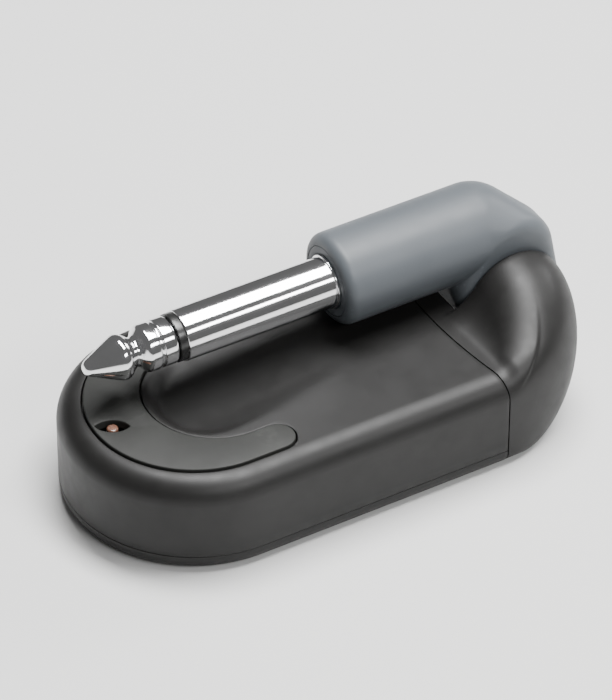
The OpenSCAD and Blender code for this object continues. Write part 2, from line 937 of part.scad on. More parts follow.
housing_top();
housing_bottom();
end_cap();
power_button();
light_pipe();
circuit_board();
radio_shield();
control_chip();
chip_antenna();
status_led();
tact_switch();
usb_shell();
usb_tongue();
battery();
battery_tape();
battery_leads();
neck_lead();
housing_screws();
friction_washer();
retaining_clip();
pivot_shaft();
arm_shell();
arm_cap();
arm_lead();
plug_retainer();
plug_sleeve();
plug_insulator();
plug_tip();
rear_insulator();
sleeve_lug();
tip_lug();
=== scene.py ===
import json
import math

import bmesh
import bpy
import numpy as np
from mathutils import Matrix, Vector
from mathutils.geometry import delaunay_2d_cdt

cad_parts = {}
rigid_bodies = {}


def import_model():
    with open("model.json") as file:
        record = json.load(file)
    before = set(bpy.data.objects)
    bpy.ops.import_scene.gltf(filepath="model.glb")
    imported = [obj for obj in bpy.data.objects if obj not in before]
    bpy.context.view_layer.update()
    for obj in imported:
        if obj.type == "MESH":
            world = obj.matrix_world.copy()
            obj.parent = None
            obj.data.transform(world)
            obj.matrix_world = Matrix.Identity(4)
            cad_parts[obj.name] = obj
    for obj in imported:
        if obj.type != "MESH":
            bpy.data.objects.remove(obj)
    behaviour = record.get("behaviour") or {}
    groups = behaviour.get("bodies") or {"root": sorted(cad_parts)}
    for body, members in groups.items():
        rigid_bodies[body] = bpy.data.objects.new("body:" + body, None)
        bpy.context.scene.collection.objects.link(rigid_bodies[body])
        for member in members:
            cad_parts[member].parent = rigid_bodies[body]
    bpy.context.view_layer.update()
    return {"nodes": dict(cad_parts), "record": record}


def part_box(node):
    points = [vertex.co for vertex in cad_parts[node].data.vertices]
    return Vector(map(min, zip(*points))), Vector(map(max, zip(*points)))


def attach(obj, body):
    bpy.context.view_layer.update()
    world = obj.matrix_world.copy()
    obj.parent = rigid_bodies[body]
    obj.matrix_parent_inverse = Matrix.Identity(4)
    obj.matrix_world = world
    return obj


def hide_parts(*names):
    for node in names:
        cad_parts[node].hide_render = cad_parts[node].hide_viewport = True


for spare in list(bpy.data.objects):
    bpy.data.objects.remove(spare)

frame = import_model()

MM = 0.001
EPS = 0.01
CREASE = 32
CUT_CREASE = 40
ROUND_SIDES = 160


def box_mm(node):
    low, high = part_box(node)
    return low / MM, high / MM


# ---------------------------------------------------------------- sizes, in millimetres

housing_low, housing_high = box_mm("housing_top")
handle_low, handle_high = box_mm("plug_retainer")
sleeve_low, sleeve_high = box_mm("plug_sleeve")
insulator_low = box_mm("plug_insulator")[0]
tip_low, tip_high = box_mm("plug_tip")
pad_low, pad_high = box_mm("power_button")
arm_low, arm_high = box_mm("arm_shell")
arm_cap_low = box_mm("arm_cap")[0]
pipe_low, pipe_high = box_mm("light_pipe")

HALF_W = housing_high.y
TOP_Z = housing_high.z
SPLIT_Z = housing_low.z
NOSE_X = housing_low.x + HALF_W
EDGE_TOP_R = 3.0
EDGE_BOTTOM_R = 2.0
WALL = 1.6
ROOF_T = 2.6
CEILING_Z = TOP_Z - ROOF_T
HOUSING_L = 50.0

# joint between the housing and the end cap
SEAM_X = housing_low.x + HOUSING_L
SEAM_BOW = 2.0
SEAM_R = (HALF_W**2 + SEAM_BOW**2) / (2 * SEAM_BOW)
SEAM_CENTRE_X = SEAM_X - SEAM_BOW + SEAM_R
SEAM_GAP = 0.1
CRISP_R = 0.12
DECK_END_X = SEAM_X + 1.6

# crescent button
PAD_GAP = 0.2
PAD_T = 1.1
PAD_TRAVEL = 0.4
PAD_REST_GAP = 0.05
PAD_TOP_Z = pad_high.z
PAD_FLOOR_Z = PAD_TOP_Z - PAD_T - PAD_TRAVEL - PAD_REST_GAP
PAD_OUTER_R = HALF_W - EDGE_TOP_R - PAD_GAP
PAD_INNER_R = 9.0
PAD_INNER_X = NOSE_X + 2.7
LIMB_R = (PAD_OUTER_R - PAD_INNER_R) / 2
LIMB_Y = PAD_INNER_R + LIMB_R
LIMB_X = SEAM_X - 26.6 - LIMB_R
LED_X = SEAM_X - 44.6
EYE_R = 2.6
EYE_HALF_W = 1.05
EYE_TURN = 60
PAD_EDGE_R = 0.16
POST_R = 1.0
SWITCH_X = SEAM_X - 41.4
PIPE_R = 0.7
PIPE_CLEAR = 0.03
PIPE_FLANGE_R = 1.3
PIPE_FLANGE_T = 0.6
PIPE_DOME_R = 0.25

# screws
SCREW_SPOTS = [(SEAM_X - 9, -12.2), (SEAM_X - 9, 12.2), (SEAM_X - 41, -9.4), (SEAM_X - 41, 9.4)]
SCREW_POCKET_R = 1.8
SCREW_HOLE_R = 1.0
SCREW_SEAT_Z = 1.6

# scoop under the folded plug
SCOOP_DEPTH = 1.8
SCOOP_R = PAD_INNER_R - 0.5
SCOOP_L = 29.0
SCOOP_WALL = 2.2
SCOOP_SOFT = 0.05
SCOOP_OVERRUN = 4.0
SCOOP_FADE_L = 6.0

# neck
NECK_LAYERS = 56
NECK_RUN_STEPS = 40
NECK_ARC_STEPS = 64
NECK_FACE_Y = -1.9
NECK_R = 6.3
NECK_BLEND = 5.0
NECK_RAMP_L = 2.5
NECK_SHOULDER = 0.85
SIDE_FLAT = 0.75
NECK_VOXEL = 0.13
NECK_ROOT_X = SEAM_X - SEAM_BOW - 1
PIVOT_OFFSET = 9.4
PIVOT_X = SEAM_X + PIVOT_OFFSET
PIVOT_Z = TOP_Z - 0.5

# arm and plug
PLUG_Y = (handle_low.y + handle_high.y) / 2
PLUG_Z = (handle_low.z + handle_high.z) / 2
HANDLE_R = 5.8
HANDLE_END_X = handle_low.x
HANDLE_BEND_X = SEAM_X + 6.9
HANDLE_BORE_END_X = SEAM_X + 2
HANDLE_EDGE_R = 1.3
HANDLE_BORE_R = 4.5
KNUCKLE_R = arm_high.x - PIVOT_X
ARM_FACE_Y = arm_low.y
ARM_OUTER_Y = arm_high.y
ARM_EDGE_R = 2.0
ARM_VOXEL = 0.14
DISC_STEPS = 192
ARM_FRONT_EDGE_R = 1.2
ARM_POCKET_Y = 4.6
ARM_POCKET_R = 4.4
SHOULDER_X = SEAM_X + 9.7
SHOULDER_Z = TOP_Z + 3.8
SHOULDER_R = 6.1
SHOULDER_EDGE_R = 1.8
SHAFT_R = 2.5
PLUG_R = 3.175
RING_R = 3.0
ROOT_R = 3.4
ROOT_X = HANDLE_END_X - 0.3
RING_X = insulator_low.x
SLEEVE_X = sleeve_low.x
ROD_R = 1.05
SLEEVE_BORE_R = 2.1
SHAFT_CLEAR = 0.1
COLLAR_X = HANDLE_END_X + 1.6
COLLAR_T = 1.4
COLLAR_R = 4.3
TAIL_R = 2.8
TAIL_END_X = sleeve_high.x
TIP_PROFILE = [(0, 0.55), (0.35, 0.95), (3.9, 2.6), (4.6, 2.85), (5.2, 2.75), (6.3, 1.85),
               (6.8, 1.85), (7.5, 2.75), (7.8, 2.95), (9, 2.95), (9.1, 2.7), (9.5, 2.7),
               (9.6, 2.95), (11.1, 2.95), (11.5, 2.7)]

# charging socket
USB_X = SEAM_X - 17
USB_Z = 7.4
USB_W = 8.94
USB_H = 3.2
USB_REACH = 0.35


# ---------------------------------------------------------------- mesh helpers


def new_object(name, points, faces):
    """Object from points in millimetres. Edges sharper than CREASE degrees stay crisp."""
    mesh = bpy.data.meshes.new(name)
    mesh.from_pydata([tuple(c * MM for c in p) for p in points], [], faces)
    work = bmesh.new()
    work.from_mesh(mesh)
    bmesh.ops.remove_doubles(work, verts=work.verts, dist=0.0005 * MM)
    bmesh.ops.dissolve_degenerate(work, edges=work.edges, dist=0.0002 * MM)
    bmesh.ops.recalc_face_normals(work, faces=work.faces)
    work.to_mesh(mesh)
    work.free()
    obj = bpy.data.objects.new(name, mesh)
    bpy.context.scene.collection.objects.link(obj)
    soften(obj, CREASE)
    return obj


def soften(obj, crease):
    """Smooth shading, except over edges sharper than crease degrees."""
    obj.data.shade_smooth()
    obj.data.set_sharp_from_angle(angle=math.radians(crease))


def bake_modifiers(obj):
    """Turns an object's modifiers into plain mesh."""
    view = bpy.context.evaluated_depsgraph_get()
    mesh = bpy.data.meshes.new_from_object(obj.evaluated_get(view))
    obj.modifiers.clear()
    obj.data = mesh


def cut(obj, cutters, overlaps=False):
    """Takes the cutters out of obj and removes them. overlaps is for an obj whose faces cross."""
    for cutter in cutters:
        modifier = obj.modifiers.new("cut", "BOOLEAN")
        modifier.operation = "DIFFERENCE"
        modifier.solver = "EXACT"
        modifier.use_self = overlaps
        modifier.object = cutter
        bake_modifiers(obj)
        bpy.data.objects.remove(cutter)


def strips(rows, closed):
    """Quads between rows of indices that all have the same length."""
    faces = []
    for a, b in zip(rows, rows[1:]):
        count = len(a)
        for k in range(count if closed else count - 1):
            n = (k + 1) % count
            faces.append((a[k], a[n], b[n], b[k]))
    return faces


def numbered(rows):
    """All points of the rows in one list, and the rows as lists of indices."""
    points = []
    index_rows = []
    for row in rows:
        index_rows.append(list(range(len(points), len(points) + len(row))))
        points.extend(row)
    return points, index_rows


def closed_loft(name, rings):
    """Solid through rings of points, with a fan of triangles at each end."""
    points, rows = numbered(rings)
    faces = strips(rows, closed=True)
    for row in (rows[0], rows[-1]):
        hub = len(points)
        ring = [points[i] for i in row]
        points.append(tuple(sum(c) / len(ring) for c in zip(*ring)))
        faces += [(hub, row[k], row[(k + 1) % len(row)]) for k in range(len(row))]
    return new_object(name, points, faces)


def revolved(name, outline, origin, axis, side, sides, around):
    """Solid of revolution. outline is a list of (distance along the axis, radius)."""
    axis, side = Vector(axis), Vector(side)
    up = axis.cross(side)
    rings = []
    for along, radius in outline:
        ring = []
        for k in range(sides):
            turn = 2 * math.pi * k / sides
            spoke = side * math.cos(turn) + up * math.sin(turn)
            ring.append(tuple(Vector(origin) + axis * along + spoke * radius))
        rings.append(ring)
    points, rows = numbered(rings)
    if around:
        rows = rows + [rows[0]]
    return new_object(name, points, strips(rows, closed=True))


def on_plug_axis(name, outline, around=True):
    """Solid of revolution on the plug's axis, from (x, radius) points."""
    return revolved(name, outline, (0, PLUG_Y, PLUG_Z), (1, 0, 0), (0, 1, 0), ROUND_SIDES, around)


def rounded(outline, radius, steps=4):
    """Open list of 2D points with its inner corners rounded off."""
    result = [outline[0]]
    for before, corner, after in zip(outline, outline[1:], outline[2:]):
        corner_v = Vector(corner)
        to_before = Vector(before) - corner_v
        to_after = Vector(after) - corner_v
        reach = min(radius, 0.45 * to_before.length, 0.45 * to_after.length)
        start = corner_v + to_before.normalized() * reach
        end = corner_v + to_after.normalized() * reach
        for k in range(steps + 1):
            t = k / steps
            result.append(tuple(start * (1 - t) ** 2 + corner_v * 2 * t * (1 - t) + end * t * t))
    result.append(outline[-1])
    return result


def arc(centre, radius, start, end, steps):
    """Points on a circle, from one angle in degrees to another, both ends included."""
    turns = [math.radians(start + (end - start) * k / steps) for k in range(steps + 1)]
    return [(centre[0] + radius * math.cos(t), centre[1] + radius * math.sin(t)) for t in turns]


def line(a, b, steps):
    """Points from a to b, both ends included."""
    return [(a[0] + (b[0] - a[0]) * k / steps, a[1] + (b[1] - a[1]) * k / steps)
            for k in range(steps + 1)]


def joined(*runs):
    """One loop from runs of 2D points, without the repeated joints between them."""
    loop = []
    for run in runs:
        for point in run:
            if not loop or math.dist(point, loop[-1]) > 1e-6:
                loop.append(point)
    if math.dist(loop[0], loop[-1]) < 1e-6:
        loop.pop()
    return loop


def inside(loop, x, y):
    """Which of the points (x, y) are inside a loop."""
    hit = np.zeros(len(x), bool)
    for (x0, y0), (x1, y1) in zip(loop, loop[1:] + loop[:1]):
        if y0 == y1:
            continue
        across = (y0 > y) != (y1 > y)
        hit ^= across & (x < x0 + (y - y0) * (x1 - x0) / (y1 - y0))
    return hit


def fill(loops, height, extra=()):
    """Triangles over the area inside the first loop and outside the others, lifted to height(x, y)."""
    flat = [Vector(p) for loop in loops for p in loop]
    edges = []
    start = 0
    for loop in loops:
        edges += [(start + k, start + (k + 1) % len(loop)) for k in range(len(loop))]
        start += len(loop)
    flat += [Vector(p) for p in extra]
    verts, _, faces = delaunay_2d_cdt(flat, edges, [], 0, 1e-7)[:3]
    centres = np.array([np.mean([verts[i] for i in face], axis=0) for face in faces])
    keep = inside(loops[0], centres[:, 0], centres[:, 1])
    for loop in loops[1:]:
        keep &= ~inside(loop, centres[:, 0], centres[:, 1])
    points = [(v[0], v[1], height(v[0], v[1])) for v in verts]
    return points, [tuple(face) for face, kept in zip(faces, keep) if kept]


def merged(name, parts):
    """One object from several (points, faces) lists."""
    points = []
    faces = []
    for part_points, part_faces in parts:
        base = len(points)
        points += part_points
        faces += [tuple(base + i for i in face) for face in part_faces]
    return new_object(name, points, faces)


def prism(name, loop, z_from, z_to):
    """Straight solid over a loop."""
    rings = [[(x, y, z) for x, y in loop] for z in (z_from, z_to)]
    points, rows = numbered(rings)
    return new_object(name, points, strips(rows, closed=True) + [tuple(rows[0]), tuple(rows[1])])


# ---------------------------------------------------------------- outlines


def stadium(radius, x_mid, x_end):
    """Half circle about (x_mid, 0) that runs straight to x_end."""
    return joined(arc((x_mid, 0), radius, 90, 270, 96), [(x_end, -radius), (x_end, radius)])


NOSE_STEPS = 128
LIMB_STEPS = 12


def crescent(grow):
    """Outline of the crescent button, grown by grow. It starts at the +Y side of the nose."""
    outer = PAD_OUTER_R + grow
    inner = PAD_INNER_R - grow
    return joined(
        arc((NOSE_X, 0), outer, 90, 270, NOSE_STEPS),
        line((NOSE_X, -outer), (LIMB_X, -outer), LIMB_STEPS),
        arc((LIMB_X, -LIMB_Y), LIMB_R + grow, -90, 90, 32),
        line((LIMB_X, -inner), (PAD_INNER_X, -inner), 6),
        arc((PAD_INNER_X, 0), inner, 270, 90, 96),
        line((PAD_INNER_X, inner), (LIMB_X, inner), 6),
        arc((LIMB_X, LIMB_Y), LIMB_R + grow, -90, 90, 32),
        line((LIMB_X, outer), (NOSE_X, outer), LIMB_STEPS),
    )


def eye(grow):
    """Pointed oval around the light."""
    radius = EYE_R + grow
    shift = EYE_R - EYE_HALF_W
    half_turn = math.degrees(math.acos(shift / radius))
    turn = math.radians(EYE_TURN)
    across = (shift * math.cos(turn), shift * math.sin(turn))
    return joined(
        arc((LED_X - across[0], -across[1]), radius, EYE_TURN - half_turn, EYE_TURN + half_turn, 16),
        arc((LED_X + across[0], across[1]), radius, EYE_TURN + 180 - half_turn,
            EYE_TURN + 180 + half_turn, 16),
    )


def seam_x(y, grow=SEAM_GAP / 2):
    """Where the joint's housing side is at a given y."""
    return SEAM_CENTRE_X - math.sqrt((SEAM_R + grow) ** 2 - y * y)


# ---------------------------------------------------------------- housing

DECK_W = PAD_OUTER_R + PAD_GAP
DECK_START_X = LIMB_X - 12
DECK_GRID = 0.5
SIDE_STEPS = 56


def shell_row(w, z):
    """One lengthwise row of the housing at distance w from its middle, from joint to joint."""
    end = seam_x(w)
    sides = line((LIMB_X, w), (end, w), SIDE_STEPS)
    limb = line((NOSE_X, w), (LIMB_X, w), LIMB_STEPS)
    nose = arc((NOSE_X, 0), w, 90, 270, NOSE_STEPS)
    plus = joined(sides[::-1], limb[::-1])
    minus = [(x, -y) for x, y in reversed(plus)]
    return [(x, y, z) for x, y in joined(plus, nose, minus)]


def scoop_depth(x, y):
    """Depth of the scoop below the deck: a soft trough that runs out towards the joint."""
    start = PAD_INNER_X - SCOOP_R
    along = (x - start) / SCOOP_L
    trough_r = (SCOOP_R**2 + SCOOP_DEPTH**2) / (2 * SCOOP_DEPTH)
    raw = SCOOP_DEPTH * (1 - along) - y * y / (2 * trough_r)
    soft = 0.5 * (raw + math.sqrt(raw * raw + SCOOP_SOFT))
    from_axis = math.hypot(min(0.0, x - PAD_INNER_X), y)
    t = min(1.0, max(0.0, (SCOOP_R - from_axis) / SCOOP_WALL))
    run_out = min(1.0, max(0.0, (start + SCOOP_L + SCOOP_OVERRUN - x) / SCOOP_FADE_L))
    return soft * t * t * (3 - 2 * t) * run_out


def deck_height(x, y):
    return TOP_Z - scoop_depth(x, y)


def deck():
    """Top face between the crescent, the rounded sides and the joint."""
    crescent_loop = crescent(PAD_GAP)
    first = NOSE_STEPS + LIMB_STEPS
    inner_side = crescent_loop[first:len(crescent_loop) - LIMB_STEPS + 1]
    side = line((LIMB_X, DECK_W), (seam_x(DECK_W), DECK_W), SIDE_STEPS)
    loop = joined(inner_side, side, [(seam_x(y), y) for y in seam_ys(DECK_W)],
                  [(x, -y) for x, y in reversed(side)])
    xs = np.arange(DECK_START_X, SEAM_X, DECK_GRID)
    ys = np.arange(-DECK_W + DECK_GRID, DECK_W, DECK_GRID)
    grid = np.array([(x, y) for x in xs for y in ys])
    edge = np.array(loop)
    clear = np.array([np.hypot(*(edge - p).T).min() > 0.6 * DECK_GRID for p in grid])
    extra = grid[inside(loop, grid[:, 0], grid[:, 1]) & clear]
    return fill([loop], deck_height, [tuple(p) for p in extra])


def level_face(loop, z):
    return fill([loop], lambda x, y: z)


def crisp_edges(obj):
    """Gives every crisp edge a small real rounding."""
    modifier = obj.modifiers.new("crisp", "BEVEL")
    modifier.limit_method = "ANGLE"
    modifier.angle_limit = math.radians(50)
    modifier.width = CRISP_R * MM
    modifier.segments = 3
    modifier.use_clamp_overlap = False
    bake_modifiers(obj)


def upper_profile():
    """(distance from the middle, height) up the side wall and round the top edge."""
    low = [(HALF_W, z) for z in np.linspace(SPLIT_Z, TOP_Z - EDGE_TOP_R, 7)[:-1]]
    centre = (HALF_W - EDGE_TOP_R, TOP_Z - EDGE_TOP_R)
    return low + arc(centre, EDGE_TOP_R, 0, 90, 20)


def lower_profile():
    """(distance from the middle, height) down the side wall and round the bottom edge."""
    centre = (HALF_W - EDGE_BOTTOM_R, EDGE_BOTTOM_R)
    return [(HALF_W, SPLIT_Z)] + arc(centre, EDGE_BOTTOM_R, 0, -90, 14)


def seam_ys(plane_w):
    return [plane_w * (1 - k / 32) for k in range(65)]


def seam_face(profile):
    """End face at the joint, as columns between the half's flat side and its outline."""
    flat_z = profile[0][1]
    plane_w, plane_z = profile[-1]
    wall = [z for w, z in profile if w == HALF_W]
    edge = [(w, z) for w, z in profile if w < HALF_W]
    across = [(HALF_W, wall[-1])] + edge + [(y, plane_z) for y in seam_ys(plane_w)[1:-1]]
    across += [(-w, z) for w, z in reversed(edge)] + [(-HALF_W, wall[-1])]
    points = []
    faces = []
    for (y0, z0), (y1, z1) in zip(across, across[1:]):
        rise = wall[1:] if abs(y1) == HALF_W else [z1]
        fall = wall[:0:-1] if abs(y0) == HALF_W else [z0]
        column = [(y0, flat_z), (y1, flat_z)] + [(y1, z) for z in rise] + [(y0, z) for z in fall]
        faces.append(tuple(range(len(points), len(points) + len(column))))
        points += [(seam_x(y), y, z) for y, z in column]
    return points, faces


def plane_loop(profile, w):
    """Outline of a level face of a housing half that reaches w from the middle."""
    ys = [-v for v, _ in profile if v < w] + seam_ys(profile[-1][0])[-2:0:-1]
    ys += [v for v, _ in reversed(profile) if v < w]
    return joined([(x, y) for x, y, _ in shell_row(w, 0)], [(seam_x(y), y) for y in ys])


def half_shell(profile):
    """Side walls, rounded edge, joint face and flat inner side of one half of the housing."""
    points, rows = numbered([shell_row(w, z) for w, z in profile])
    return [
        (points, strips(rows, closed=False)),
        seam_face(profile),
        level_face(plane_loop(profile, HALF_W), profile[0][1]),
    ]


def housing_top():
    parts = half_shell(upper_profile())
    parts.append(deck())
    rim = crescent(PAD_GAP)
    walls, wall_rows = numbered([[(x, y, z) for x, y in rim] for z in (TOP_Z, PAD_FLOOR_Z)])
    parts.append((walls, strips(wall_rows, closed=True)))
    parts.append(level_face(rim, PAD_FLOOR_Z))
    obj = merged("upper_housing", parts)
    crisp_edges(obj)
    cavity = prism("cavity", stadium(HALF_W - WALL, NOSE_X, SEAM_X + 5), SPLIT_Z - 1, CEILING_Z)
    pipe = bar("pipe_hole", PIPE_R + PIPE_CLEAR, (LED_X, 0, CEILING_Z - 1), (LED_X, 0, TOP_Z), 48)
    post = bar("post_hole", POST_R + PAD_GAP, (SWITCH_X, 0, CEILING_Z - 1), (SWITCH_X, 0, TOP_Z), 48)
    usb = prism("usb_cut", usb_outline(USB_REACH), -5, 5)
    usb.data.transform(usb_turn())
    cut(obj, [cavity, pipe, post, usb], overlaps=True)
    soften(obj, CUT_CREASE)
    return obj


def housing_bottom():
    profile = lower_profile()
    parts = half_shell(profile)
    parts.append(level_face(plane_loop(profile, profile[-1][0]), 0))
    obj = merged("lower_housing", parts)
    crisp_edges(obj)
    for x, y in SCREW_SPOTS:
        pocket = bar("pocket", SCREW_POCKET_R, (x, y, -1), (x, y, SCREW_SEAT_Z), 64)
        hole = bar("hole", SCREW_HOLE_R, (x, y, 0), (x, y, 2 * SPLIT_Z), 48)
        cut(obj, [pocket, hole], overlaps=True)
    soften(obj, CUT_CREASE)
    return obj


def usb_outline(grow):
    """Oblong of the charging socket, in its own plane."""
    radius = USB_H / 2 + grow
    shift = (USB_W - USB_H) / 2
    return joined(arc((shift, 0), radius, -90, 90, 24), arc((-shift, 0), radius, 90, 270, 24))


def usb_turn():
    """Turns an outline drawn in XY to stand in the side wall at the charging socket."""
    place = Matrix.Translation(Vector((USB_X, HALF_W, USB_Z)) * MM)
    return place @ Matrix.Rotation(math.pi / 2, 4, "X")


def power_button():
    """Crescent pad with softly rounded edges, its eye-shaped window and the post below it."""
    bottom_z = PAD_TOP_Z - PAD_T
    turns = [math.radians(t) for t in (0, 30, 60, 90)]
    rings = []
    for outline, inward in ((crescent, -1), (eye, 1)):
        rows = []
        for t in turns:
            loop = outline(inward * PAD_EDGE_R * (1 - math.sin(t)))
            rows.append([(x, y, PAD_TOP_Z - PAD_EDGE_R * (1 - math.cos(t))) for x, y in loop])
        rows.append([(x, y, bottom_z) for x, y in outline(0)])
        points, index_rows = numbered(rows)
        rings.append((points, strips(index_rows, closed=True)))
    top = fill([crescent(-PAD_EDGE_R), eye(PAD_EDGE_R)], lambda x, y: PAD_TOP_Z)
    bottom = fill([crescent(0), eye(0)], lambda x, y: bottom_z)
    obj = merged("power_button_pad", rings + [top, bottom])
    post = bar("post", POST_R, (SWITCH_X, 0, pad_low.z), (SWITCH_X, 0, bottom_z + PAD_T / 2), 48)
    join(obj, [post])
    return obj


def light_pipe():
    outline = [(0, 0), (0, PIPE_FLANGE_R), (PIPE_FLANGE_T, PIPE_FLANGE_R), (PIPE_FLANGE_T, PIPE_R)]
    dome_z = pipe_high.z - pipe_low.z
    outline += arc_profile(dome_z - PIPE_DOME_R, PIPE_R, PIPE_DOME_R) + [(dome_z, 0)]
    origin = (LED_X, 0, pipe_low.z)
    return revolved("light_window", outline, origin, (0, 0, 1), (1, 0, 0), 64, around=False)


def arc_profile(along, radius, edge_r):
    """Quarter round from a straight side into an end face, as (distance, radius) points."""
    return [(along + a, radius - edge_r + r) for r, a in arc((0, 0), edge_r, 0, 90, 6)]


# ---------------------------------------------------------------- shared solid tools


def bar(name, radius, start, end, sides=96):
    """Round bar between two points."""
    axis = Vector(end) - Vector(start)
    side = axis.orthogonal().normalized()
    outline = [(0, 0), (0, radius), (axis.length, radius), (axis.length, 0)]
    return revolved(name, outline, start, axis.normalized(), side, sides, around=False)


def join(obj, others):
    """Adds the meshes of the others to obj."""
    work = bmesh.new()
    work.from_mesh(obj.data)
    for other in others:
        work.from_mesh(other.data)
        bpy.data.objects.remove(other)
    work.to_mesh(obj.data)
    work.free()
    soften(obj, CREASE)


def fuse(obj, voxel):
    """Melts overlapping solids into one skin with softly rounded corners."""
    remesh = obj.modifiers.new("fuse", "REMESH")
    remesh.mode = "VOXEL"
    remesh.voxel_size = voxel * MM
    remesh.use_smooth_shade = True
    smooth = obj.modifiers.new("smooth", "SMOOTH")
    smooth.factor = 0.5
    smooth.iterations = 8
    bake_modifiers(obj)


def disc_profile(y_from, y_to, radius, edge_from, edge_to):
    """(y, radius) outline of a disc across the body's width with two rounded rims."""
    first = [(y_from + edge_from - a, radius - edge_from + r)
             for r, a in arc((0, 0), edge_from, 0, 90, 10)][::-1]
    last = [(y_to - edge_to + a, radius - edge_to + r) for r, a in arc((0, 0), edge_to, 0, 90, 16)]
    return first + last


def on_pivot_axis(name, outline):
    """Solid of revolution on the pivot's axis, from (y, radius) points."""
    origin = (PIVOT_X, 0, PIVOT_Z)
    return revolved(name, outline, origin, (0, 1, 0), (1, 0, 0), ROUND_SIDES, around=False)


# ---------------------------------------------------------------- neck


def edge_fall(y, radius):
    """How far a rounded edge has fallen at a distance y from the body's middle plane."""
    into = max(0.0, abs(y) - HALF_W + radius)
    return radius - math.sqrt(max(0.0, radius * radius - into * into))


def soft_max(a, b, k):
    """Larger of two heights, with a soft corner of size k where they cross."""
    return max(a, b) + max(0.0, k - abs(a - b)) ** 2 / (4 * k)


def smooth_step(t):
    """Smooth step from 0 to 1."""
    t = min(1.0, max(0.0, t))
    return t * t * (3 - 2 * t)


def knuckle_top(z_mid, r, d):
    """Height of the knuckle's round top at distance d before its middle, with a straight foot."""
    d0 = NECK_SHOULDER * r
    rest = math.sqrt(r * r - d0 * d0)
    if d < d0:
        return z_mid + math.sqrt(r * r - d * d)
    return z_mid + rest - (d - d0) * d0 / rest


def neck_layer(v):
    """One layer of the neck, parallel to its flat face. v is 0 at that face, 1 at the side wall."""
    turn = math.radians(90 * v)
    y = NECK_FACE_Y - (HALF_W + NECK_FACE_Y) * math.sin(turn)
    back = math.cos(turn)
    rise = back**3
    top = TOP_Z - edge_fall(y, EDGE_TOP_R)
    bottom = edge_fall(y, EDGE_BOTTOM_R)
    middle = (top + bottom) / 2
    x_mid = SEAM_X + PIVOT_OFFSET * back
    z_mid = middle + (PIVOT_Z - middle) * rise
    r = (top - bottom) / 2 + (NECK_R - (top - bottom) / 2) * rise
    ramp_x = seam_x(y, 0)
    ring = []
    for i in range(NECK_RUN_STEPS):
        s = i / NECK_RUN_STEPS
        ring.append((NECK_ROOT_X + s * (x_mid - NECK_ROOT_X), y,
                     bottom + (z_mid - r - bottom) * smooth_step(s)))
    for i in range(NECK_ARC_STEPS + 1):
        a = math.radians(180 * i / NECK_ARC_STEPS - 90)
        reach = r * (1 - SIDE_FLAT * v * v)
        ring.append((x_mid + reach * math.cos(a), y, z_mid + r * math.sin(a)))
    for i in range(NECK_RUN_STEPS - 1, -1, -1):
        x = NECK_ROOT_X + i / NECK_RUN_STEPS * (x_mid - NECK_ROOT_X)
        dome = knuckle_top(z_mid, r, x_mid - x)
        lift = soft_max(top, dome, NECK_BLEND * back + EPS) - top
        ring.append((x, y, top + lift * smooth_step((x - ramp_x) / NECK_RAMP_L)))
    return ring


def deck_end():
    """The short straight piece of the body beyond the joint, behind the neck."""
    edge = 0.5
    ys = list(np.linspace(NECK_FACE_Y - 0.6, HALF_W - EDGE_TOP_R, 8)[:-1])
    ys += [HALF_W - EDGE_TOP_R + EDGE_TOP_R * math.sin(math.radians(t)) for t in range(0, 91, 5)]
    rings = []
    for y in ys:
        low, high = edge_fall(y, EDGE_BOTTOM_R), TOP_Z - edge_fall(y, EDGE_TOP_R)
        x = DECK_END_X - edge
        corner = arc((x, low + edge), edge, -90, 0, 6) + arc((x, high - edge), edge, 0, 90, 6)
        rings.append([(px, y, pz) for px, pz in [(NECK_ROOT_X, low)] + corner + [(NECK_ROOT_X, high)]])
    return closed_loft("deck_end", rings)


def end_cap():
    obj = closed_loft("neck_skin", [neck_layer(i / NECK_LAYERS) for i in range(NECK_LAYERS + 1)])
    join(obj, [deck_end()])
    fuse(obj, NECK_VOXEL)
    far_x = PIVOT_X + 2 * NECK_R
    ys = np.linspace(-HALF_W - 2, HALF_W + 2, 129)
    loop = [(seam_x(y, -SEAM_GAP / 2), y) for y in ys] + [(far_x, ys[-1]), (far_x, ys[0])]
    keep = prism("beyond_joint", loop, -5, 3 * TOP_Z)
    modifier = obj.modifiers.new("trim", "BOOLEAN")
    modifier.operation = "INTERSECT"
    modifier.solver = "EXACT"
    modifier.object = keep
    bake_modifiers(obj)
    bpy.data.objects.remove(keep)
    soften(obj, CUT_CREASE)
    return obj


# ---------------------------------------------------------------- arm


